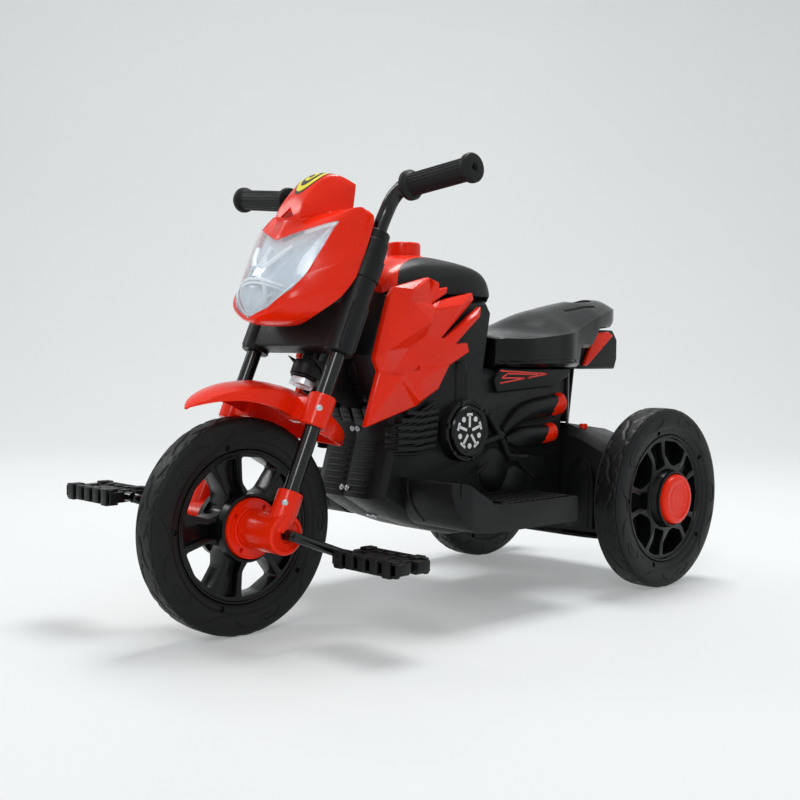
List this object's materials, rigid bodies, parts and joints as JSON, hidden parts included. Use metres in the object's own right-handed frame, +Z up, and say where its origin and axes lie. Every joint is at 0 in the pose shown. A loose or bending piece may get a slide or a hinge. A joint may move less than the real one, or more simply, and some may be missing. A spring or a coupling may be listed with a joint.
{
  "type": "ride-on toy motorcycle trike",
  "caption": "Child's ride-on motorcycle trike with pedals on the steered front wheel, a headlight cowl, side fairings, a tank, a saddle and footboards.",
  "frame": {"origin": "on the floor on the centre plane, midway between the front and the rear axle", "axes": "+Z up, the front of the toy faces -Y, its left side is +X"},
  "size_m": [0.4462, 0.8826, 0.5672],
  "materials": {
    "red_plastic": "glossy moulded plastic",
    "black_plastic": "fine-grained moulded plastic",
    "gloss_black_plastic": "glossy moulded plastic",
    "tyre_plastic": "matt moulded tyre",
    "grip_rubber": "soft matt rubber",
    "black_steel": "gloss black paint on steel tube",
    "zinc_steel": "zinc-plated steel",
    "clear_lens": "clear faceted lens",
    "silver_reflector": "metallised plastic",
    "grey_plastic": "plain moulded plastic, hidden inside"
  },
  "bodies": {
    "body": {"body_shell_left": "black_plastic", "body_shell_right": "black_plastic", "neck_bracket": "black_plastic", "upper_steering_bush": "grey_plastic", "lower_steering_bush": "grey_plastic", "tank_cover": "gloss_black_plastic", "tank_front_trim": "red_plastic", "fuel_cap": "red_plastic", "side_fairing_left": "red_plastic", "side_fairing_right": "red_plastic", "seat": "gloss_black_plastic", "side_panel_left": "black_plastic", "side_panel_right": "black_plastic", "tail_strip_left": "red_plastic", "tail_strip_right": "red_plastic", "tail_block": "black_plastic", "exhaust_tip_upper_left": "red_plastic", "exhaust_tip_upper_right": "red_plastic", "exhaust_tip_lower_left": "red_plastic", "exhaust_tip_lower_right": "red_plastic", "engine_cover_left": "gloss_black_plastic", "engine_cover_right": "gloss_black_plastic", "footboard_left": "black_plastic", "footboard_right": "black_plastic", "rear_axle_housing": "black_plastic", "housing_lid": "black_plastic", "gearbox": "grey_plastic", "motor": "zinc_steel", "battery": "grey_plastic", "rear_axle": "zinc_steel"},
    "steering": {"steering_stem": "zinc_steel", "stem_nut": "zinc_steel", "head_cover": "black_plastic", "headlight_cowl": "red_plastic", "headlight_lens": "clear_lens", "headlight_reflector": "silver_reflector", "front_fender": "red_plastic", "fork_foot_left": "red_plastic", "fork_foot_right": "red_plastic", "fork_tube_left": "black_steel", "fork_tube_right": "black_steel", "handlebar_left": "black_steel", "handlebar_right": "black_steel", "grip_left": "grip_rubber", "grip_right": "grip_rubber"},
    "front_wheel": {"front_tyre": "tyre_plastic", "front_rim": "gloss_black_plastic", "front_hub_flange_left": "red_plastic", "front_hub_flange_right": "red_plastic", "crank_axle": "black_steel"},
    "left_pedal": {"pedal_left": "black_plastic"},
    "right_pedal": {"pedal_right": "black_plastic"},
    "rear_wheel_left": {"rear_tyre_left": "tyre_plastic", "rear_rim_left": "gloss_black_plastic", "rear_hub_cap_left": "red_plastic"},
    "rear_wheel_right": {"rear_tyre_right": "tyre_plastic", "rear_rim_right": "gloss_black_plastic", "rear_hub_cap_right": "red_plastic"},
    "power_switch": {"power_button": "red_plastic"}
  },
  "joints": [
    {"name": "steering_turn", "type": "hinge", "parent": "body", "child": "steering", "pos_m": [0, -0.29218, 0.11959], "axis": [0, 0.4003, 0.9164], "range_deg": [-20, 20]},
    {"name": "front_wheel_spin", "type": "hinge", "parent": "steering", "child": "front_wheel", "pos_m": [0, -0.312, 0.13], "axis": [1, 0, 0], "continuous": true},
    {"name": "left_pedal_spin", "type": "hinge", "parent": "front_wheel", "child": "left_pedal", "pos_m": [0.165, -0.23451, 0.10025], "axis": [1, 0, 0], "continuous": true},
    {"name": "right_pedal_spin", "type": "hinge", "parent": "front_wheel", "child": "right_pedal", "pos_m": [-0.165, -0.38949, 0.15974], "axis": [1, 0, 0], "continuous": true},
    {"name": "rear_left_wheel_spin", "type": "hinge", "parent": "body", "child": "rear_wheel_left", "pos_m": [0.174, 0.312, 0.13], "axis": [1, 0, 0], "continuous": true},
    {"name": "rear_right_wheel_spin", "type": "hinge", "parent": "body", "child": "rear_wheel_right", "pos_m": [-0.174, 0.312, 0.13], "axis": [1, 0, 0], "continuous": true},
    {"name": "power_button_press", "type": "slide", "parent": "body", "child": "power_switch", "axis": [0, 0, 1], "range_m": [-0.002, 0], "stiffness_N_per_m": 400}
  ]
}
